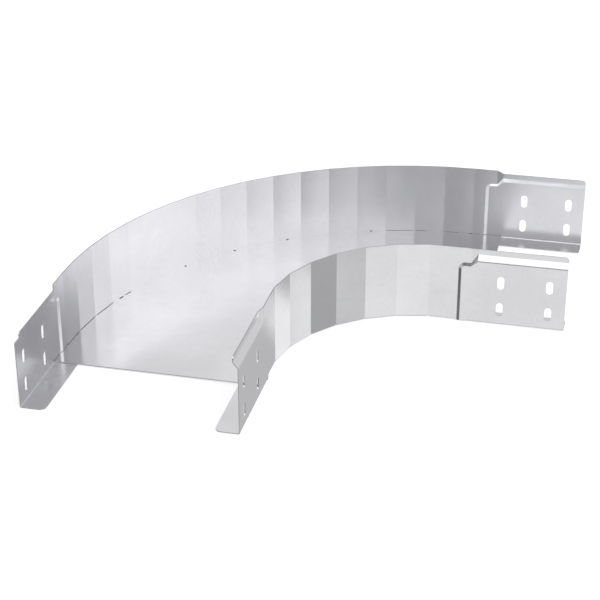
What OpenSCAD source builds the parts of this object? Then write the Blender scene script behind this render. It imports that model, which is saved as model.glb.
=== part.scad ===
// Ninety degree horizontal bend for sheet metal cable tray.
// Two folded side walls, each with its own pair of couplers, stand on one flat floor plate.
// The origin is on the standing plane, under the middle of the bend's outline.
// One open end looks along +X and the other along -Y.

/* [Tray] */
// Width of the tray that fits between the couplers
tray_w = 300; // [150:10:600]
// Radius of the inner wall, to its face in the channel
inner_r = 210; // [150:5:400]
// Height of the side walls
wall_h = 116; // [112:1:160]
// Thickness of the sheet
sheet_t = 1.5; // [1:0.1:2]
// Radius inside every fold
fold_r = 1; // [0.8:0.1:2]

/* [Curved walls] */
// Flat strips in the outer wall's curve
outer_strips = 17; // [11:1:24]
// Folds in the inner wall's curve
inner_folds = 7; // [5:1:10]
// Straight length of wall between the curve and the joggle
straight_l = 19; // [16:1:60]
// Width of the flange that is folded under the floor, in the curve
tab_w = 25; // [15:1:35]
// Clear width at each fold where two tabs meet
tab_gap = 3; // [2.5:0.5:6]

/* [Joggle] */
// Sideways step from the wall out to the coupler
joggle_step = 2; // [1.6:0.1:3]
// Length over which the sheet makes that step
joggle_run = 4.5; // [4:0.5:8]
// Height at which the step ends, and the wall above stays straight
joggle_top = 88.5; // [60:0.5:90]
// Radius of the step's upper corner
joggle_r = 5; // [3:0.5:12]

/* [Couplers] */
// Distance from the joggle to the coupler's end
coupler_l = 156; // [140:1:220]
// Distance from the joggle to where the coupler's rim begins to form
rim_start = 17.5; // [14:0.5:24]
// Length over which the rim forms out of the wall
rim_run = 9.5; // [8:0.5:20]
// Height of the coupler's flat side
side_h = 97; // [94:0.5:100]
// Distance that the ledge leans in over the tray's rim
ledge_in = 7; // [5:0.5:10]
// Height that the ledge gains
ledge_h = 8.5; // [6:0.5:11]
// Height of the lip above the ledge
lip_h = 8; // [6:0.5:12]
// Radius of the lip's corner
lip_r = 5; // [2:0.5:6]
// Width of the coupler's flange
flange_w = 35; // [28:1:50]
// Radius of the flange's corner
flange_r = 8; // [4:1:12]

/* [Bolt slots] */
// Width of a slot
slot_w = 10; // [7:0.5:11]
// Length of a slot from end to end
slot_l = 21; // [14:0.5:24]
// Height of the lower slots' middle
slot_z = 24; // [22:0.5:28]
// Distance between the lower and the upper slots
slot_rise = 42; // [36:1:46]
// Distance from the coupler's end to the nearest slots
slot_end = 24.5; // [16:0.5:40]
// Distance between the two columns of slots
slot_pitch = 70; // [40:1:90]

/* [Floor] */
// Distance that the floor reaches past the joggle
floor_reach = 29; // [12:1:60]
// Clearance between the floor's edge and the inside of the fold
floor_clear = 0.1; // [0.1:0.1:2]

/* [Hidden] */
$fn = 48;
fold_steps = 3;
rim_steps = 6;
fold_out = fold_r + sheet_t;
fold_lap = 1;
fold_thin = 0.05;
strip_z = fold_out + 0.5;
soft_r = sheet_t + 0.5;
outer_r = inner_r + tray_w - 2 * joggle_step;
wall_end = straight_l;
side_start = straight_l + joggle_run;
coupler_end = straight_l + coupler_l;
rim_from = straight_l + rim_start;
rim_to = rim_from + rim_run;
floor_end = straight_l + floor_reach;
margin = 2;
corner_z = joggle_top - joggle_r;
corner_u = side_start + joggle_r;
flange_from = side_start + tab_gap;
middle = (outer_r + joggle_step + sheet_t - coupler_end) / 2;

// Geometry helpers
function unit(v) = v / norm(v);
function left_of(a, b) = let (d = unit(b - a)) [-d[1], d[0]];
function reversed(list) = [for (i = [len(list) - 1 : -1 : 0]) list[i]];
function on_circle(r, a) = fine([r * cos(a), r * sin(a)]);
// A point on a grid of a thousandth, so that sections drawn in two ways meet exactly
function fine(p) = [for (v = p) round(v * 1000) / 1000];
// Mirror image over the line that joins the bend's corner to its centre
function other_end(pts) = reversed([for (p = pts) [-p[1], -p[0]]]);

// A line of points moved sideways to its left, with mitred corners
function shifted(pts, d) = let (last = len(pts) - 1) [
    for (i = [0 : last])
        let (
            n1 = left_of(pts[max(i - 1, 0)], pts[max(i, 1)]),
            n2 = left_of(pts[min(i, last - 1)], pts[min(i + 1, last)]),
            n = unit(n1 + n2)
        ) fine(pts[i] + n * d / (n * n1))
];

// A line of points with each inner corner softened by a short curve
function softened(pts, r) = let (last = len(pts) - 1) [
    pts[0],
    for (i = [1 : last - 1])
        let (
            p = pts[i],
            d1 = unit(pts[i - 1] - p),
            d2 = unit(pts[i + 1] - p),
            turn = 180 - acos(max(-1, min(1, d1 * d2))),
            reach = min(r * tan(turn / 2), norm(pts[i - 1] - p) / 2, norm(pts[i + 1] - p) / 2)
        )
        for (k = [0 : fold_steps])
            let (t = k / fold_steps)
            fine(p + d1 * reach * (1 - t) * (1 - t) + d2 * reach * t * t),
    pts[last]
];

function sheet_outline(face, d) = concat(face, reversed(shifted(face, d)));

// Plan lines of the walls' channel faces, from the +X end round to the -Y end
function end_line(r, away, reach) = [
    [reach, r + away * joggle_step],
    [side_start, r + away * joggle_step],
    [wall_end, r]
];
outer_curve = [for (i = [0 : outer_strips]) on_circle(outer_r, 90 + 90 * i / outer_strips)];
inner_curve = [
    for (i = [0 : inner_folds - 1])
        on_circle(inner_r / cos(45 / inner_folds), 90 + 90 * (i + 0.5) / inner_folds)
];
function wall_line(r, curve) = concat([[wall_end - margin, r]], curve, [[-r, margin - wall_end]]);
function floor_line(r, away, curve) =
    let (ends = end_line(r, away, floor_end)) concat(ends, curve, other_end(ends));

// The sheet folded under: a quarter bend and a flange, in a plane across the fold.
// X is the distance from the wall's channel face, away from the channel, and Y is up.
// The bend stretches the sheet, so it stands a hair back from the wall's two faces.
module fold_profile(width) {
    difference() {
        translate([-fold_r, fold_out]) circle(r = fold_out - fold_thin);
        translate([-fold_r, fold_out]) circle(r = fold_r + fold_thin);
        translate([-fold_r - 2 * fold_out, 0]) square([2 * fold_out, 3 * fold_out]);
        translate([-fold_r - fold_out, fold_out]) square([3 * fold_out, 2 * fold_out]);
    }
    translate([sheet_t - width, 0]) square([width - fold_out, sheet_t]);
    translate([fold_thin, fold_out]) square([sheet_t - 2 * fold_thin, strip_z - fold_out + fold_lap]);
}

// A folded tab along the line from a to b, on the left of that line for side = 1
module tab(a, b, side) {
    run = norm(b - a) - tab_gap;
    translate([a[0], a[1], 0])
        rotate([0, 0, atan2(b[1] - a[1], b[0] - a[0])])
            mirror([0, side > 0 ? 0 : 1, 0])
                translate([tab_gap / 2, 0, 0])
                    rotate([90, 0, 90])
                        linear_extrude(height = run)
                            mirror([1, 0]) fold_profile(tab_w);
}

// Faces across the coupler as (distance away from the channel, height)
function wall_side() = [
    [joggle_step, corner_z],
    [joggle_step, joggle_top],
    [0, joggle_top + joggle_run],
    [0, wall_h]
];
function rim_side() = [
    [joggle_step, corner_z],
    [joggle_step, side_h],
    [joggle_step - ledge_in, side_h + ledge_h],
    [joggle_step - ledge_in, side_h + ledge_h + lip_h]
];
function rim_section(t) =
    sheet_outline(softened([
        for (i = [0 : 3]) wall_side()[i] * (1 - t) + rim_side()[i] * t
    ], soft_r), -sheet_t);

// The step's own section as (distance towards the wall, distance away from the channel)
function step_section() = sheet_outline(softened([
    [-joggle_r, joggle_step],
    [0, joggle_step],
    [joggle_run, 0],
    [joggle_run + margin, 0]
], soft_r), sheet_t);

// Everything along the coupler is drawn with X along the tray, Y away from the channel
module along(from, to) {
    translate([from, 0, 0]) rotate([90, 0, 90]) linear_extrude(height = to - from) children();
}

// The step from wall to coupler: up, round its corner and along
module joggle() {
    linear_extrude(height = corner_z)
        translate([side_start, 0]) mirror([1, 0]) polygon(step_section());
    translate([corner_u, 0, corner_z])
        rotate([90, 0, 0])
            mirror([0, 0, 1])
                rotate([0, 0, 90])
                    rotate_extrude(angle = 90)
                        translate([joggle_r, 0]) polygon(step_section());
    along(corner_u, rim_from) polygon(rim_section(0));
    joggle_corner_fill();
}

// The wall left standing outside the step's round corner, which it laps by a little
module joggle_corner_fill() {
    reach = joggle_r + joggle_run + margin;
    lap = margin / 4;
    translate([0, sheet_t, 0])
        rotate([90, 0, 0])
            linear_extrude(height = sheet_t)
                difference() {
                    translate([corner_u - reach, corner_z]) square([reach, wall_h - corner_z]);
                    translate([corner_u, corner_z]) circle(r = reach - lap);
                }
}

// The rim forms out of the wall's top in one short, straight run
module rim_run_out() {
    rings = [
        for (k = [0 : rim_steps])
            [for (p = rim_section(k / rim_steps)) [rim_from + rim_run * k / rim_steps, p[0], p[1]]]
    ];
    n = len(rings[0]);
    points = [for (ring = rings) each ring];
    sides = [
        for (k = [0 : rim_steps - 1], i = [0 : n - 1])
            let (a = k * n + i, b = k * n + (i + 1) % n)
            each [[a, b, b + n], [a, b + n, a + n]]
    ];
    cap = [for (i = [0 : n / 2 - 2]) [i, i + 1, n - 2 - i, n - 1 - i]];
    near_end = [for (quad = cap) reversed(quad)];
    far_end = [for (quad = cap) [for (corner = quad) corner + rim_steps * n]];
    polyhedron(points, concat(sides, near_end, far_end));
}

// A tall slot right through the coupler's side
module slot(u, z) {
    half = (slot_l - slot_w) / 2;
    translate([u, joggle_step - 1, z])
        rotate([-90, 0, 0]) {
            for (end = [-half, half])
                translate([0, end, 0]) cylinder(d = slot_w, h = sheet_t + 2);
            translate([-slot_w / 2, -half, 0]) cube([slot_w, 2 * half, sheet_t + 2]);
        }
}

// Cuts a convex corner to a radius; the corner's point is at the origin
module round_off(r, h) {
    difference() {
        translate([-r, -r, -1]) cube([r + 1, r + 1, h + 2]);
        translate([-r, -r, -2]) cylinder(r = r, h = h + 4);
    }
}

// One coupler at the +X end, from its joggle to its free end
module coupler() {
    rim_z = side_h + ledge_h + lip_h;
    flange_edge = joggle_step + sheet_t - flange_w;
    joggle();
    rim_run_out();
    difference() {
        union() {
            translate([corner_u, joggle_step, fold_out])
                cube([coupler_end - corner_u, sheet_t, corner_z - fold_out]);
            along(rim_to, coupler_end) polygon(rim_section(1));
            along(flange_from, coupler_end)
                translate([joggle_step, 0]) fold_profile(flange_w);
        }
        for (row = [0, 1], column = [0, 1])
            slot(coupler_end - slot_end - column * slot_pitch, slot_z + row * slot_rise);
        translate([coupler_end, joggle_step - ledge_in - 1, rim_z])
            rotate([-90, 0, 0]) mirror([0, 1, 0]) round_off(lip_r, sheet_t + 2);
        translate([coupler_end, flange_edge, 0])
            mirror([0, 1, 0]) round_off(flange_r, sheet_t);
    }
}

// A whole wall: the folded curve, its tabs, and a coupler at each end.
// For away = 1 the channel is on the side of the bend's centre.
module wall(r, curve, away) {
    line = wall_line(r, curve);
    translate([0, 0, strip_z])
        linear_extrude(height = wall_h - strip_z)
            polygon(sheet_outline(line, -away * sheet_t));
    for (i = [0 : len(line) - 2])
        tab(line[i], line[i + 1], away);
    for (end = [0, 1])
        rotate([0, 0, 90 * end]) mirror([end, 0, 0])
            translate([0, r, 0])
                mirror([0, away > 0 ? 0 : 1, 0])
                    coupler();
}

module outer_wall() {
    color([0.74, 0.75, 0.77]) wall(outer_r, outer_curve, 1);
}

module inner_wall() {
    color([0.82, 0.83, 0.84]) wall(inner_r, inner_curve, -1);
}

// One flat sheet that lies on the flanges and follows both walls
module floor_plate() {
    gap = fold_r + floor_clear;
    outer_edge = shifted(floor_line(outer_r, 1, outer_curve), gap);
    inner_edge = shifted(floor_line(inner_r, -1, inner_curve), -gap);
    color([0.86, 0.87, 0.88])
        translate([0, 0, sheet_t])
            linear_extrude(height = sheet_t)
                polygon(concat(outer_edge, reversed(inner_edge)));
}

module in_place() {
    translate([middle, -middle, 0]) children();
}

in_place() floor_plate();
in_place() outer_wall();
in_place() inner_wall();
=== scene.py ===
"""Looks of a ninety degree cable tray bend, folded from zinc coated sheet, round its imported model.

Lengths are in metres. The origin is on the standing plane under the middle of the bend, +Z is up,
and the two open ends look along +X and -Y. Directions are given as an azimuth, where 0 is -Y and
90 is +X, and an elevation, both in degrees.
"""

from __future__ import annotations

import logging
import math
from dataclasses import dataclass, field
from enum import Enum

import bpy
from mathutils import Matrix, Vector


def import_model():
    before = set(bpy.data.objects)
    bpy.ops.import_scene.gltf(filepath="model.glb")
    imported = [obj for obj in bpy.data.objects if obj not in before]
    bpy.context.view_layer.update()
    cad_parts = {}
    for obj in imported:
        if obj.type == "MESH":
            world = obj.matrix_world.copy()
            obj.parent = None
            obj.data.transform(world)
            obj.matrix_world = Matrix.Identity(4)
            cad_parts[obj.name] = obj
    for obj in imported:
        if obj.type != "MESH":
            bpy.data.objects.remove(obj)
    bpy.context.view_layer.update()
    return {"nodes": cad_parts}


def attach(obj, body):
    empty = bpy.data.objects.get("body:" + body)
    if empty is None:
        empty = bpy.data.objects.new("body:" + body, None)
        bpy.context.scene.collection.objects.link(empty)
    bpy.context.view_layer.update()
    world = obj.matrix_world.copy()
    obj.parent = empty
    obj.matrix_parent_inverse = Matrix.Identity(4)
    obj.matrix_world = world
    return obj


MM = 0.001
BODY = "root"
LOG = logging.getLogger("cable_tray_bend")

Triple = tuple[float, float, float]
Span = tuple[float, float]
Socket = bpy.types.NodeSocket

WHOLE: Span = (0.0, 1.0)
BOTH_WAYS: Span = (-1.0, 1.0)
WHITE: Triple = (1.0, 1.0, 1.0)


class SheetSlot(Enum):
    """The record's material slots, one for each sheet that the bend is made of."""

    FLOOR = "floor_sheet"
    OUTER = "outer_sheet"
    INNER = "inner_sheet"


class Rolling(Enum):
    """The way a sheet ran through the mill, as the turn of its grain about X and Y in degrees."""

    ALONG_X = (0.0, 0.0)
    UPRIGHT = (0.0, 90.0)


class CutEdges(Enum):
    """Where a sheet shows the faces that the shears left."""

    PLATE = "round a flat plate"
    WALL = "along a wall's top and at its two ends"


def direction(azimuth: float, elevation: float) -> Vector:
    """Finds the unit vector of a direction.

    Args:
        azimuth: Degrees round the upright axis, where 0 is -Y and 90 is +X.
        elevation: Degrees above the standing plane.

    Returns:
        The unit vector.
    """
    a, e = math.radians(azimuth), math.radians(elevation)
    return Vector((math.sin(a) * math.cos(e), -math.cos(a) * math.cos(e), math.sin(e)))


@dataclass
class NodeBench:
    """A node tree under construction, with short ways to add and join its nodes."""

    tree: bpy.types.NodeTree

    def add(self, kind: str, **settings: object) -> bpy.types.Node:
        """Adds one node.

        Args:
            kind: Blender's name of the node's type.
            **settings: Properties of the node, by name.

        Returns:
            The new node.
        """
        node = self.tree.nodes.new(kind)
        for name, value in settings.items():
            setattr(node, name, value)
        return node

    def join(self, source: Socket, target: Socket) -> None:
        """Links an output to an input."""
        self.tree.links.new(source, target)

    def give(self, target: Socket, value: Socket | Vector | Triple | float) -> None:
        """Links an input to an output, or sets the input where the value is plain.

        Args:
            target: The input.
            value: The output to link, or the plain value.
        """
        if isinstance(value, Socket):
            self.join(value, target)
        else:
            target.default_value = value

    def maths(self, operation: str, first: Socket | float, second: Socket | float = 0.0) -> Socket:
        """Adds one Math node.

        Args:
            operation: The Math node's operation.
            first: The first value, as a socket or a number.
            second: The second value, as a socket or a number.

        Returns:
            The result's socket.
        """
        node = self.add("ShaderNodeMath", operation=operation)
        self.give(node.inputs[0], first)
        self.give(node.inputs[1], second)
        return node.outputs[0]

    def vector(
        self,
        operation: str,
        first: Socket | Vector | Triple,
        second: Socket | Vector | Triple,
    ) -> bpy.types.Node:
        """Adds one Vector Math node that takes two vectors.

        Args:
            operation: The Vector Math node's operation.
            first: The first vector, as a socket or plain.
            second: The second vector, as a socket or plain.

        Returns:
            The node.
        """
        node = self.add("ShaderNodeVectorMath", operation=operation)
        self.give(node.inputs[0], first)
        self.give(node.inputs[1], second)
        return node

    def scale(self, vector: Socket | Triple, factor: Socket) -> Socket:
        """Adds one node that multiplies a vector by a number.

        Args:
            vector: The vector, as a socket or plain.
            factor: The number's socket.

        Returns:
            The result's socket.
        """
        node = self.add("ShaderNodeVectorMath", operation="SCALE")
        self.give(node.inputs[0], vector)
        self.join(factor, node.inputs["Scale"])
        return node.outputs[0]

    def spread(
        self, value: Socket, source: Span, target: Span, interpolation: str = "LINEAR"
    ) -> Socket:
        """Maps one range of values onto another.

        Args:
            value: The socket to map.
            source: The low and high end that come in.
            target: The low and high end that go out.
            interpolation: How values between the ends run.

        Returns:
            The mapped value's socket.
        """
        node = self.add("ShaderNodeMapRange", interpolation_type=interpolation)
        self.join(value, node.inputs["Value"])
        for name, number in zip(("From Min", "From Max", "To Min", "To Max"), (*source, *target)):
            node.inputs[name].default_value = number
        return node.outputs["Result"]


@dataclass(frozen=True)
class ZincFinish:
    """Satin zinc coated steel sheet with soft clouds, faint crystals and rolled grain.

    A depth is the share by which a pattern changes the brightness or the roughness. A span is
    the part of a noise's values that is used. Cut faces are rougher, and their colour is darkened
    as painted shade, standing in for the thin dark lines that light leaves along a sheet's edges.
    They are told by the way they face and by where they are: a wall's are higher than rim_level,
    or further out than end_reach. A face counts as upright where the upright part of its normal
    is less than upright_below, and as square to an axis where the part along it is more than
    square_above.
    """

    name: str
    tint: Triple
    roughness: float
    rolling: Rolling
    cuts: CutEdges
    seed: float
    cloud_size: float = 140 * MM
    cloud_depth: float = 0.035
    cloud_detail: float = 3.0
    cloud_contrast: float = 0.55
    cloud_span: Span = (0.3, 0.7)
    crystal_size: float = 6 * MM
    crystal_depth: float = 0.012
    crystal_rise: float = 0.3
    grain_width: float = 0.6 * MM
    grain_length: float = 30 * MM
    grain_depth: float = 0.008
    grain_detail: float = 2.0
    grain_span: Span = (0.25, 0.75)
    relief_height: float = 0.012 * MM
    relief_strength: float = 0.03
    # Painted shade: how much the cut faces' colour is darkened.
    cut_painted_shade: float = -0.35
    cut_roughness: float = 0.16
    rim_level: float = 100 * MM
    end_reach: float = 190 * MM
    upright_below: float = 0.5
    square_above: float = 0.9

    def build(self) -> bpy.types.Material:
        """Makes the material.

        Returns:
            A node material that reads Object coordinates and the mesh's own normals only.
        """
        material = bpy.data.materials.new(self.name)
        material.use_nodes = True
        bench = NodeBench(material.node_tree)
        shader = material.node_tree.nodes["Principled BSDF"]
        shader.inputs["Metallic"].default_value = 1.0
        where = bench.add("ShaderNodeTexCoord")
        place = where.outputs["Object"]
        clouds = self._clouds(bench, place)
        crystals = self._crystals(bench, place)
        grain = self._grain(bench, place)
        cut = self._cut(bench, place, where.outputs["Normal"])
        self._colour(bench, shader, clouds, crystals, cut)
        self._gloss(bench, shader, clouds, grain, cut)
        self._relief(bench, shader, crystals, grain)
        return material

    def _clouds(self, bench: NodeBench, place: Socket) -> Socket:
        """Adds broad soft patches, as the coating has from the mill.

        Args:
            bench: The material's nodes.
            place: The point on the sheet.

        Returns:
            The pattern, from -1 to 1.
        """
        noise = bench.add("ShaderNodeTexNoise", noise_dimensions="4D")
        noise.inputs["Scale"].default_value = 1 / self.cloud_size
        noise.inputs["Detail"].default_value = self.cloud_detail
        noise.inputs["Roughness"].default_value = self.cloud_contrast
        noise.inputs["W"].default_value = self.seed
        bench.join(place, noise.inputs["Vector"])
        return bench.spread(noise.outputs["Fac"], self.cloud_span, BOTH_WAYS, "SMOOTHSTEP")

    def _crystals(self, bench: NodeBench, place: Socket) -> Socket:
        """Adds faint zinc crystals, each with its own even shade.

        Args:
            bench: The material's nodes.
            place: The point on the sheet.

        Returns:
            The pattern, from -1 to 1.
        """
        cells = bench.add("ShaderNodeTexVoronoi", voronoi_dimensions="4D", feature="F1")
        cells.inputs["Scale"].default_value = 1 / self.crystal_size
        cells.inputs["W"].default_value = self.seed
        bench.join(place, cells.inputs["Vector"])
        split = bench.add("ShaderNodeSeparateColor")
        bench.join(cells.outputs["Color"], split.inputs["Color"])
        return bench.spread(split.outputs["Red"], WHOLE, BOTH_WAYS)

    def _grain(self, bench: NodeBench, place: Socket) -> Socket:
        """Adds fine rolled lines, long in the rolling direction and hair thin across it.

        Args:
            bench: The material's nodes.
            place: The point on the sheet.

        Returns:
            The pattern, from -1 to 1.
        """
        about_x, about_y = self.rolling.value
        turn = bench.add("ShaderNodeMapping", vector_type="TEXTURE")
        turn.inputs["Rotation"].default_value = (math.radians(about_x), math.radians(about_y), 0.0)
        turn.inputs["Scale"].default_value = (self.grain_length, self.grain_width, self.grain_width)
        bench.join(place, turn.inputs["Vector"])
        noise = bench.add("ShaderNodeTexNoise", noise_dimensions="4D")
        noise.inputs["Scale"].default_value = 1.0
        noise.inputs["Detail"].default_value = self.grain_detail
        noise.inputs["W"].default_value = self.seed + 1.0
        bench.join(turn.outputs["Vector"], noise.inputs["Vector"])
        return bench.spread(noise.outputs["Fac"], self.grain_span, BOTH_WAYS)

    def _cut(self, bench: NodeBench, place: Socket, normal: Socket) -> Socket:
        """Marks the narrow cut faces of the sheet.

        Args:
            bench: The material's nodes.
            place: The point on the sheet.
            normal: The way the sheet faces there.

        Returns:
            The mark, 1 on a cut face and 0 elsewhere.
        """
        facing = bench.add("ShaderNodeSeparateXYZ")
        bench.join(normal, facing.inputs[0])
        if self.cuts is CutEdges.PLATE:
            level = bench.maths("ABSOLUTE", facing.outputs["Z"])
            return bench.maths("LESS_THAN", level, self.upright_below)
        point = bench.add("ShaderNodeSeparateXYZ")
        bench.join(place, point.inputs[0])
        rim, right, front = (
            bench.maths("MULTIPLY", bench.maths("GREATER_THAN", square, self.square_above), here)
            for square, here in (
                (
                    facing.outputs["Z"],
                    bench.maths("GREATER_THAN", point.outputs["Z"], self.rim_level),
                ),
                (
                    bench.maths("ABSOLUTE", facing.outputs["X"]),
                    bench.maths("GREATER_THAN", point.outputs["X"], self.end_reach),
                ),
                (
                    bench.maths("ABSOLUTE", facing.outputs["Y"]),
                    bench.maths("LESS_THAN", point.outputs["Y"], -self.end_reach),
                ),
            )
        )
        return bench.maths("MAXIMUM", rim, bench.maths("MAXIMUM", right, front))

    def _colour(
        self,
        bench: NodeBench,
        shader: bpy.types.Node,
        clouds: Socket,
        crystals: Socket,
        cut: Socket,
    ) -> None:
        """Varies the sheet's brightness by its clouds and crystals, and paints shade on its cut
        faces by darkening them.

        Args:
            bench: The material's nodes.
            shader: The material's shader.
            clouds: The soft patches.
            crystals: The crystals.
            cut: The mark of the cut faces.
        """
        change = bench.maths(
            "ADD",
            bench.maths("MULTIPLY", clouds, self.cloud_depth),
            bench.maths("MULTIPLY", crystals, self.crystal_depth),
        )
        # Painted shade: the cut faces' colour is darkened.
        change = bench.maths("ADD", change, bench.maths("MULTIPLY", cut, self.cut_painted_shade))
        shade = bench.scale(self.tint, bench.maths("ADD", change, 1.0))
        bench.join(shade, shader.inputs["Base Color"])

    def _gloss(
        self,
        bench: NodeBench,
        shader: bpy.types.Node,
        clouds: Socket,
        grain: Socket,
        cut: Socket,
    ) -> None:
        """Varies the roughness by the clouds, the rolled grain and the cut faces.

        Args:
            bench: The material's nodes.
            shader: The material's shader.
            clouds: The soft patches.
            grain: The rolled lines.
            cut: The mark of the cut faces.
        """
        change = bench.maths(
            "ADD",
            bench.maths("MULTIPLY", clouds, -self.cloud_depth),
            bench.maths("MULTIPLY", grain, self.grain_depth),
        )
        change = bench.maths("ADD", change, bench.maths("MULTIPLY", cut, self.cut_roughness))
        bench.join(bench.maths("ADD", change, self.roughness), shader.inputs["Roughness"])

    def _relief(
        self, bench: NodeBench, shader: bpy.types.Node, crystals: Socket, grain: Socket
    ) -> None:
        """Gives the grain and the crystals a relief of about a hundredth of a millimetre.

        Args:
            bench: The material's nodes.
            shader: The material's shader.
            crystals: The crystals.
            grain: The rolled lines.
        """
        bump = bench.add("ShaderNodeBump")
        bump.inputs["Strength"].default_value = self.relief_strength
        bump.inputs["Distance"].default_value = self.relief_height
        height = bench.maths("ADD", grain, bench.maths("MULTIPLY", crystals, self.crystal_rise))
        bench.join(height, bump.inputs["Height"])
        bench.join(bump.outputs["Normal"], shader.inputs["Normal"])


@dataclass(frozen=True)
class WeldFinish:
    """Heat darkened steel of a small tack weld, dark in its hollows and brighter on its lumps."""

    name: str = "tack_weld_scale"
    dark: Triple = (0.06, 0.06, 0.065)
    bright: Triple = (0.34, 0.33, 0.33)
    dark_until: float = 0.42
    bright_from: float = 0.72
    roughness: float = 0.42
    patch_size: float = 1.2 * MM
    patch_detail: float = 4.0
    relief_height: float = 0.1 * MM
    relief_strength: float = 0.5

    def build(self) -> bpy.types.Material:
        """Makes the material.

        Returns:
            A node material that reads Object coordinates only.
        """
        material = bpy.data.materials.new(self.name)
        material.use_nodes = True
        bench = NodeBench(material.node_tree)
        shader = material.node_tree.nodes["Principled BSDF"]
        shader.inputs["Metallic"].default_value = 1.0
        shader.inputs["Roughness"].default_value = self.roughness
        noise = bench.add("ShaderNodeTexNoise")
        noise.inputs["Scale"].default_value = 1 / self.patch_size
        noise.inputs["Detail"].default_value = self.patch_detail
        bench.join(bench.add("ShaderNodeTexCoord").outputs["Object"], noise.inputs["Vector"])
        ramp = bench.add("ShaderNodeValToRGB")
        low, high = ramp.color_ramp.elements
        low.position, high.position = self.dark_until, self.bright_from
        low.color, high.color = (*self.dark, 1.0), (*self.bright, 1.0)
        bench.join(noise.outputs["Fac"], ramp.inputs["Fac"])
        bench.join(ramp.outputs["Color"], shader.inputs["Base Color"])
        bump = bench.add("ShaderNodeBump")
        bump.inputs["Strength"].default_value = self.relief_strength
        bump.inputs["Distance"].default_value = self.relief_height
        bench.join(noise.outputs["Fac"], bump.inputs["Height"])
        bench.join(bump.outputs["Normal"], shader.inputs["Normal"])
        return material


@dataclass
class Sheet:
    """One sheet of the bend, kept as its CAD node and given its own finish."""

    node: str
    slot: SheetSlot
    finish: ZincFinish

    def dress(self, nodes: dict[str, bpy.types.Object]) -> bpy.types.Object:
        """Gives the CAD node its finish.

        Args:
            nodes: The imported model's nodes, by name.

        Returns:
            The node's object.
        """
        piece = nodes[self.node]
        material = self.finish.build()
        if not piece.material_slots:
            piece.data.materials.append(material)
        for place in piece.material_slots:
            place.material = material
        return piece


@dataclass
class BendPlan:
    """Sizes of the outer wall's curve, as the part's source has them.

    The curve starts at its +X end, where it is in the direction start from its centre, and goes
    on from there by turn. Both are in degrees from +X.
    """

    centre: Vector = field(default_factory=lambda: Vector((167.25 * MM, -167.25 * MM, 0.0)))
    outer_radius: float = 506 * MM
    start: float = 90.0
    turn: float = 90.0
    strips: int = 17
    floor_top: float = 3.0 * MM
    floor_gap: float = 1.1 * MM

    def foot(self, place: float, inset: float) -> Vector:
        """Finds a point at the foot of the outer wall.

        Args:
            place: Strips and parts of a strip from the +X end, where a whole number is a fold.
            inset: Distance into the channel from the wall's face.

        Returns:
            The point, on top of the floor.
        """
        strip = self.turn / self.strips
        middle = math.radians(self.start + strip * (math.floor(place) + 0.5))
        angle = math.radians(self.start + strip * place)
        flat = self.outer_radius * math.cos(math.radians(strip / 2)) - inset
        reach = flat / math.cos(angle - middle)
        return self.centre + Vector(
            (reach * math.cos(angle), reach * math.sin(angle), self.floor_top)
        )


def start_tree(name: str, inputs: dict[str, str]) -> bpy.types.NodeTree:
    """Starts a Geometry Nodes tree that takes and gives geometry.

    Args:
        name: The tree's name.
        inputs: The further inputs' kinds of socket, by the inputs' names.

    Returns:
        The tree, with its inputs and its output.
    """
    tree = bpy.data.node_groups.new(name, "GeometryNodeTree")
    tree.interface.new_socket("Geometry", in_out="INPUT", socket_type="NodeSocketGeometry")
    for label, kind in inputs.items():
        tree.interface.new_socket(label, in_out="INPUT", socket_type=kind)
    tree.interface.new_socket("Geometry", in_out="OUTPUT", socket_type="NodeSocketGeometry")
    return tree


def grow(
    name: str,
    points: list[Vector],
    edges: list[tuple[int, int]],
    tree: bpy.types.NodeTree,
    values: dict[str, object],
) -> bpy.types.Object:
    """Runs a Geometry Nodes tree on points and edges, and keeps the result as a plain mesh.

    Args:
        name: The new piece's name.
        points: The places that the tree starts from.
        edges: The pairs of points that are joined, by number.
        tree: The tree to run.
        values: The values of the tree's inputs, by name.

    Returns:
        The piece at the origin, with its place in its mesh and no modifier left.
    """
    guide = bpy.data.meshes.new(f"{name}_guide")
    guide.from_pydata(points, edges, [])
    carrier = bpy.data.objects.new(f"{name}_guide", guide)
    bpy.context.collection.objects.link(carrier)
    modifier = carrier.modifiers.new(name, "NODES")
    modifier.node_group = tree
    for item in tree.interface.items_tree:
        if item.item_type == "SOCKET" and item.in_out == "INPUT" and item.name in values:
            modifier[item.identifier] = values[item.name]
    graph = bpy.context.evaluated_depsgraph_get()
    mesh = bpy.data.meshes.new_from_object(carrier.evaluated_get(graph), depsgraph=graph)
    mesh.name = name
    carrier.modifiers.clear()
    bpy.data.objects.remove(carrier)
    piece = bpy.data.objects.new(name, mesh)
    bpy.context.collection.objects.link(piece)
    return piece


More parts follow.
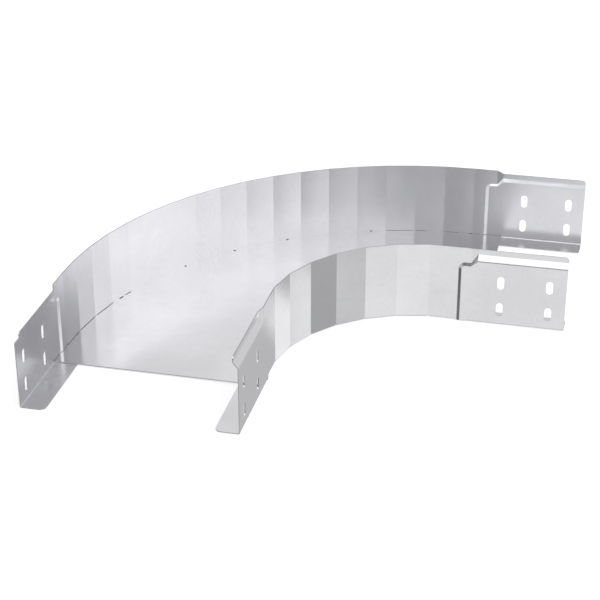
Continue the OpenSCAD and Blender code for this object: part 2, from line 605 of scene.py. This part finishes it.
@dataclass
class TackWelds:
    """Small tack welds that hold the floor to the outer wall, made by Geometry Nodes.

    The places are strips and parts of a strip from the +X end. Each bead's length, width and
    height are multiplied by chance by something from smallest to largest.
    """

    plan: BendPlan
    finish: WeldFinish = field(default_factory=WeldFinish)
    places: tuple[float, ...] = (0.02, 3.5, 6.5, 8.5, 10.5, 13.5, 16.98)
    length: float = 3.8 * MM
    width: float = 1.8 * MM
    height: float = 1.0 * MM
    smallest: Triple = (0.8, 0.85, 0.85)
    largest: Triple = (1.15, 1.1, 1.1)
    lump_size: float = 0.7 * MM
    lump_rise: float = 0.18 * MM
    lump_detail: float = 2.0
    lump_span: Span = (0.25, 0.75)
    unit_radius: float = 0.5
    subdivisions: int = 4
    seed: int = 7

    def build(self) -> bpy.types.Object:
        """Makes all the welds as one mesh.

        Returns:
            The finished piece, with its place in its mesh.
        """
        inset = self.plan.floor_gap / 2
        marks = [self.plan.foot(place, inset) for place in self.places]
        sizes = {
            "Length": self.length,
            "Width": self.width,
            "Height": self.height,
            "Bend Centre": self.plan.centre,
            "Seed": self.seed,
            "Finish": self.finish.build(),
        }
        return grow("tack_welds", marks, [], self._tree(), sizes)

    def _tree(self) -> bpy.types.NodeTree:
        """Builds the tree that puts one bead on each point, turned along the wall.

        Returns:
            The tree.
        """
        tree = start_tree(
            "tack_welds",
            {
                "Length": "NodeSocketFloat",
                "Width": "NodeSocketFloat",
                "Height": "NodeSocketFloat",
                "Bend Centre": "NodeSocketVector",
                "Seed": "NodeSocketInt",
                "Finish": "NodeSocketMaterial",
            },
        )
        bench = NodeBench(tree)
        given = bench.add("NodeGroupInput")
        bead = bench.add("GeometryNodeMeshIcoSphere")
        bead.inputs["Radius"].default_value = self.unit_radius
        bead.inputs["Subdivisions"].default_value = self.subdivisions
        put = bench.add("GeometryNodeInstanceOnPoints")
        bench.join(given.outputs["Geometry"], put.inputs["Points"])
        bench.join(bead.outputs["Mesh"], put.inputs["Instance"])
        bench.join(self._turn(bench, given), put.inputs["Rotation"])
        bench.join(self._scale(bench, given), put.inputs["Scale"])
        real = bench.add("GeometryNodeRealizeInstances")
        ripple = bench.add("GeometryNodeSetPosition")
        round_off = bench.add("GeometryNodeSetShadeSmooth")
        coat = bench.add("GeometryNodeSetMaterial")
        result = bench.add("NodeGroupOutput")
        bench.join(put.outputs["Instances"], real.inputs["Geometry"])
        bench.join(real.outputs["Geometry"], ripple.inputs["Geometry"])
        bench.join(self._ripple(bench, given), ripple.inputs["Offset"])
        bench.join(ripple.outputs["Geometry"], round_off.inputs["Geometry"])
        bench.join(round_off.outputs["Geometry"], coat.inputs["Geometry"])
        bench.join(given.outputs["Finish"], coat.inputs["Material"])
        bench.join(coat.outputs["Geometry"], result.inputs["Geometry"])
        return tree

    def _ripple(self, bench: NodeBench, given: bpy.types.Node) -> Socket:
        """Gives the beads the lumps of metal that has run and set.

        Args:
            bench: The tree's nodes.
            given: The tree's inputs.

        Returns:
            How far each point of a bead moves.
        """
        here = bench.add("GeometryNodeInputPosition").outputs["Position"]
        lumps = bench.add("ShaderNodeTexNoise", noise_dimensions="4D")
        lumps.inputs["Scale"].default_value = 1 / self.lump_size
        lumps.inputs["Detail"].default_value = self.lump_detail
        bench.join(here, lumps.inputs["Vector"])
        bench.join(given.outputs["Seed"], lumps.inputs["W"])
        rise = bench.spread(lumps.outputs[0], self.lump_span, (-self.lump_rise, self.lump_rise))
        return bench.scale(bench.add("GeometryNodeInputNormal").outputs["Normal"], rise)

    def _turn(self, bench: NodeBench, given: bpy.types.Node) -> Socket:
        """Turns each bead so that its length runs along the wall.

        Args:
            bench: The tree's nodes.
            given: The tree's inputs.

        Returns:
            The beads' rotation.
        """
        here = bench.add("GeometryNodeInputPosition").outputs["Position"]
        arm = bench.vector("SUBTRACT", here, given.outputs["Bend Centre"]).outputs[0]
        along = bench.vector("CROSS_PRODUCT", (0.0, 0.0, 1.0), arm).outputs[0]
        level = bench.vector("MULTIPLY", along, (1.0, 1.0, 0.0)).outputs[0]
        turn = bench.add("FunctionNodeAlignRotationToVector", axis="X", pivot_axis="Z")
        bench.join(level, turn.inputs["Vector"])
        return turn.outputs["Rotation"]

    def _scale(self, bench: NodeBench, given: bpy.types.Node) -> Socket:
        """Gives each bead its size, a little different from the next one's.

        Args:
            bench: The tree's nodes.
            given: The tree's inputs.

        Returns:
            The beads' length, width and height.
        """
        size = bench.add("ShaderNodeCombineXYZ")
        for name, axis in (("Length", "X"), ("Width", "Y"), ("Height", "Z")):
            bench.join(given.outputs[name], size.inputs[axis])
        chance = bench.add("FunctionNodeRandomValue", data_type="FLOAT_VECTOR")
        chance.inputs[0].default_value = self.smallest
        chance.inputs[1].default_value = self.largest
        bench.join(given.outputs["Seed"], chance.inputs["Seed"])
        return bench.vector("MULTIPLY", size.outputs["Vector"], chance.outputs[0]).outputs[0]


@dataclass
class ClosedSeam:
    """The stretches where the floor's edge touches the outer wall, made by Geometry Nodes.

    The solids keep a fitting clearance all the way round. The real sheets touch in the middle
    of the bend, and part a little towards its two ends. Each run goes from one place to another,
    in strips and parts of a strip from the +X end. It laps into both sheets, and sinks a hair
    below the floor's top.
    """

    plan: BendPlan
    finish: bpy.types.Material
    runs: tuple[Span, ...] = (
        (0.12, 0.46),
        (0.95, 1.62),
        (3.0, 13.02),
        (13.3, 13.42),
        (13.62, 13.95),
        (14.9, 14.98),
    )
    depth: float = 1.2 * MM
    lap: float = 0.04 * MM
    sink: float = 0.02 * MM

    def build(self) -> bpy.types.Object:
        """Makes all the stretches as one mesh.

        Returns:
            The finished piece, with its place in its mesh.
        """
        points, edges = self._path()
        sizes = {
            "Width": self.plan.floor_gap + 2 * self.lap,
            "Depth": self.depth,
            "Finish": self.finish,
        }
        return grow("closed_seam", points, edges, self._tree(), sizes)

    def _path(self) -> tuple[list[Vector], list[tuple[int, int]]]:
        """Lays a line along the middle of the clearance for each stretch.

        Returns:
            The lines' points, and the pairs of them that are joined.
        """
        drop = Vector((0.0, 0.0, self.depth / 2 + self.sink))
        points: list[Vector] = []
        edges: list[tuple[int, int]] = []
        for start, end in self.runs:
            folds = range(math.floor(start) + 1, math.ceil(end))
            first = len(points)
            for place in (start, *folds, end):
                points.append(self.plan.foot(place, self.plan.floor_gap / 2) - drop)
            edges += [(index, index + 1) for index in range(first, len(points) - 1)]
        return points, edges

    def _tree(self) -> bpy.types.NodeTree:
        """Builds the tree that gives the line its width and depth.

        Returns:
            The tree.
        """
        tree = start_tree(
            "closed_seam",
            {
                "Width": "NodeSocketFloat",
                "Depth": "NodeSocketFloat",
                "Finish": "NodeSocketMaterial",
            },
        )
        bench = NodeBench(tree)
        given = bench.add("NodeGroupInput")
        line = bench.add("GeometryNodeMeshToCurve")
        level = bench.add("GeometryNodeSetCurveNormal", mode="Z_UP")
        section = bench.add("GeometryNodeCurvePrimitiveQuadrilateral")
        sweep = bench.add("GeometryNodeCurveToMesh")
        sweep.inputs["Fill Caps"].default_value = True
        real = bench.add("GeometryNodeRealizeInstances")
        flat = bench.add("GeometryNodeSetShadeSmooth")
        flat.inputs["Shade Smooth"].default_value = False
        coat = bench.add("GeometryNodeSetMaterial")
        result = bench.add("NodeGroupOutput")
        bench.join(given.outputs["Geometry"], line.inputs["Mesh"])
        bench.join(line.outputs["Curve"], level.inputs["Curve"])
        bench.join(given.outputs["Width"], section.inputs["Width"])
        bench.join(given.outputs["Depth"], section.inputs["Height"])
        bench.join(level.outputs["Curve"], sweep.inputs["Curve"])
        bench.join(section.outputs["Curve"], sweep.inputs["Profile Curve"])
        bench.join(sweep.outputs["Mesh"], real.inputs["Geometry"])
        bench.join(real.outputs["Geometry"], flat.inputs["Geometry"])
        bench.join(flat.outputs["Geometry"], coat.inputs["Geometry"])
        bench.join(given.outputs["Finish"], coat.inputs["Material"])
        bench.join(coat.outputs["Geometry"], result.inputs["Geometry"])
        return tree


@dataclass(frozen=True)
class SoftZone:
    """A round patch of the studio's surroundings, changed by its full amount within its core.

    The core and the edge are degrees from the patch's middle. The change fades out between them.
    """

    azimuth: float
    elevation: float
    core: float
    edge: float
    change: float


@dataclass
class Studio:
    """Plain pale floor, soft surroundings and the camera.

    The camera looks down, so the bend's floor mirrors what is above the standing plane, and so
    does the outer wall by way of that floor. Upright faces with nothing before them mirror what
    is below it, because the studio's floor is left out of the reflections.
    """

    floor_half: float = 60.0
    floor_drop: float = 0.3 * MM
    floor_tint: Triple = (0.95, 0.95, 0.95)
    floor_roughness: float = 0.9
    floor_glow: float = 0.42
    base_light: float = 0.62
    darkest: float = 0.01
    light_tint: Triple = (0.985, 0.985, 1.0)
    zones: tuple[SoftZone, ...] = (
        SoftZone(96, 28, 12, 56, 0.44),
        SoftZone(36, 26, 6, 24, 0.14),
        SoftZone(-10, 28, 6, 26, -0.29),
        SoftZone(-6, 8, 5, 18, -0.35),
        SoftZone(-45, 28, 12, 34, -0.36),
        SoftZone(156, 29, 6, 13, -0.43),
        SoftZone(176, 25, 6, 18, 0.10),
        SoftZone(-144, 22, 10, 18, -0.50),
        SoftZone(-165, 31, 4, 12, 0.17),
        SoftZone(-8, 53, 8, 22, 0.70),
        SoftZone(-15, 80, 8, 24, 0.64),
        SoftZone(60, 66, 10, 34, 0.25),
        SoftZone(-2, -28, 6, 22, 0.22),
        SoftZone(20, -28, 6, 22, 0.17),
        SoftZone(43, -28, 6, 22, 0.17),
        SoftZone(88, -28, 6, 20, -0.27),
        SoftZone(110, -28, 6, 20, 0.08),
        SoftZone(133, -28, 6, 20, 0.39),
        SoftZone(170, -28, 6, 20, -0.14),
        SoftZone(-55, -27, 4, 14, -0.60),
    )
    camera_place: Vector = field(
        default_factory=lambda: Vector((455.92 * MM, -2117.68 * MM, 1129.76 * MM))
    )
    azimuth: float = 13.165
    elevation: float = 28.024
    roll: float = -0.046
    lens: float = 99.98
    film_width: float = 36.0
    shift: float = 0.0544
    near: float = 0.05
    far: float = 200.0

    def build(self) -> None:
        """Makes the floor, the surroundings and the camera."""
        self._floor()
        self._surroundings()
        self._camera()

    def _floor(self) -> None:
        """Lays a wide pale floor under the part."""
        half = self.floor_half
        outline = [(-half, -half), (half, -half), (half, half), (-half, half)]
        mesh = bpy.data.meshes.new("studio_floor")
        mesh.from_pydata([(x, y, -self.floor_drop) for x, y in outline], [], [(0, 1, 2, 3)])
        floor = bpy.data.objects.new("studio_floor", mesh)
        bpy.context.collection.objects.link(floor)
        material = bpy.data.materials.new("studio_floor_paint")
        material.use_nodes = True
        shader = material.node_tree.nodes["Principled BSDF"]
        shader.inputs["Base Color"].default_value = (*self.floor_tint, 1.0)
        shader.inputs["Roughness"].default_value = self.floor_roughness
        shader.inputs["Specular IOR Level"].default_value = 0.0
        shader.inputs["Emission Color"].default_value = (*WHITE, 1.0)
        shader.inputs["Emission Strength"].default_value = self.floor_glow
        mesh.materials.append(material)
        floor.visible_glossy = False

    def _surroundings(self) -> None:
        """Lights the part softly from all round, with broad brighter and darker zones."""
        world = bpy.data.worlds.new("studio_surroundings")
        world.use_nodes = True
        bpy.context.scene.world = world
        bench = NodeBench(world.node_tree)
        background = world.node_tree.nodes["Background"]
        background.inputs["Color"].default_value = (*self.light_tint, 1.0)
        ray = bench.add("ShaderNodeTexCoord").outputs["Generated"]
        level: Socket | float = self.base_light
        for zone in self.zones:
            middle = direction(zone.azimuth, zone.elevation)
            nearness = bench.vector("DOT_PRODUCT", ray, middle).outputs["Value"]
            fade = (math.cos(math.radians(zone.edge)), math.cos(math.radians(zone.core)))
            patch = bench.spread(nearness, fade, (0.0, zone.change), "SMOOTHSTEP")
            level = bench.maths("ADD", patch, level)
        bench.join(bench.maths("MAXIMUM", level, self.darkest), background.inputs["Strength"])

    def _camera(self) -> None:
        """Sets up a long lens at the photograph's viewing angle."""
        data = bpy.data.cameras.new("studio_camera")
        data.lens = self.lens
        data.sensor_width = self.film_width
        data.shift_y = self.shift
        data.clip_start = self.near
        data.clip_end = self.far
        camera = bpy.data.objects.new("studio_camera", data)
        bpy.context.collection.objects.link(camera)
        ahead = -direction(self.azimuth, self.elevation)
        turn = ahead.to_track_quat("-Z", "Y").to_matrix().to_4x4()
        tilt = Matrix.Rotation(math.radians(self.roll), 4, "Z")
        camera.matrix_world = Matrix.Translation(self.camera_place) @ turn @ tilt
        bpy.context.scene.camera = camera
        bpy.context.scene.view_settings.view_transform = "Standard"


def sheets() -> tuple[Sheet, ...]:
    """Lists the bend's sheets with their finishes.

    Returns:
        The floor, the outer wall and the inner wall.
    """
    return (
        Sheet(
            node="floor_plate",
            slot=SheetSlot.FLOOR,
            finish=ZincFinish(
                name="floor_zinc",
                tint=(0.92, 0.92, 0.935),
                roughness=0.18,
                rolling=Rolling.ALONG_X,
                cuts=CutEdges.PLATE,
                seed=3.0,
            ),
        ),
        Sheet(
            node="outer_wall",
            slot=SheetSlot.OUTER,
            finish=ZincFinish(
                name="outer_wall_zinc",
                tint=(0.90, 0.90, 0.92),
                roughness=0.24,
                rolling=Rolling.UPRIGHT,
                cuts=CutEdges.WALL,
                seed=11.0,
            ),
        ),
        Sheet(
            node="inner_wall",
            slot=SheetSlot.INNER,
            finish=ZincFinish(
                name="inner_wall_zinc",
                tint=(0.90, 0.90, 0.908),
                roughness=0.24,
                rolling=Rolling.UPRIGHT,
                cuts=CutEdges.WALL,
                seed=23.0,
            ),
        ),
    )


def main() -> None:
    """Builds the looks in order and reports each piece."""
    logging.basicConfig(level=logging.INFO, format="%(name)s: %(message)s")
    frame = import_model()
    for sheet in sheets():
        piece = sheet.dress(frame["nodes"])
        LOG.info("%s dressed, %d faces", piece.name, len(piece.data.polygons))
    plan = BendPlan()
    floor_zinc = frame["nodes"]["floor_plate"].material_slots[0].material
    for piece, slot in (
        (ClosedSeam(plan, floor_zinc).build(), SheetSlot.FLOOR),
        (TackWelds(plan).build(), SheetSlot.OUTER),
    ):
        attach(piece, BODY)
        LOG.info("%s made, %d faces", piece.name, len(piece.data.polygons))
    Studio().build()


if __name__ == "__main__":
    main()
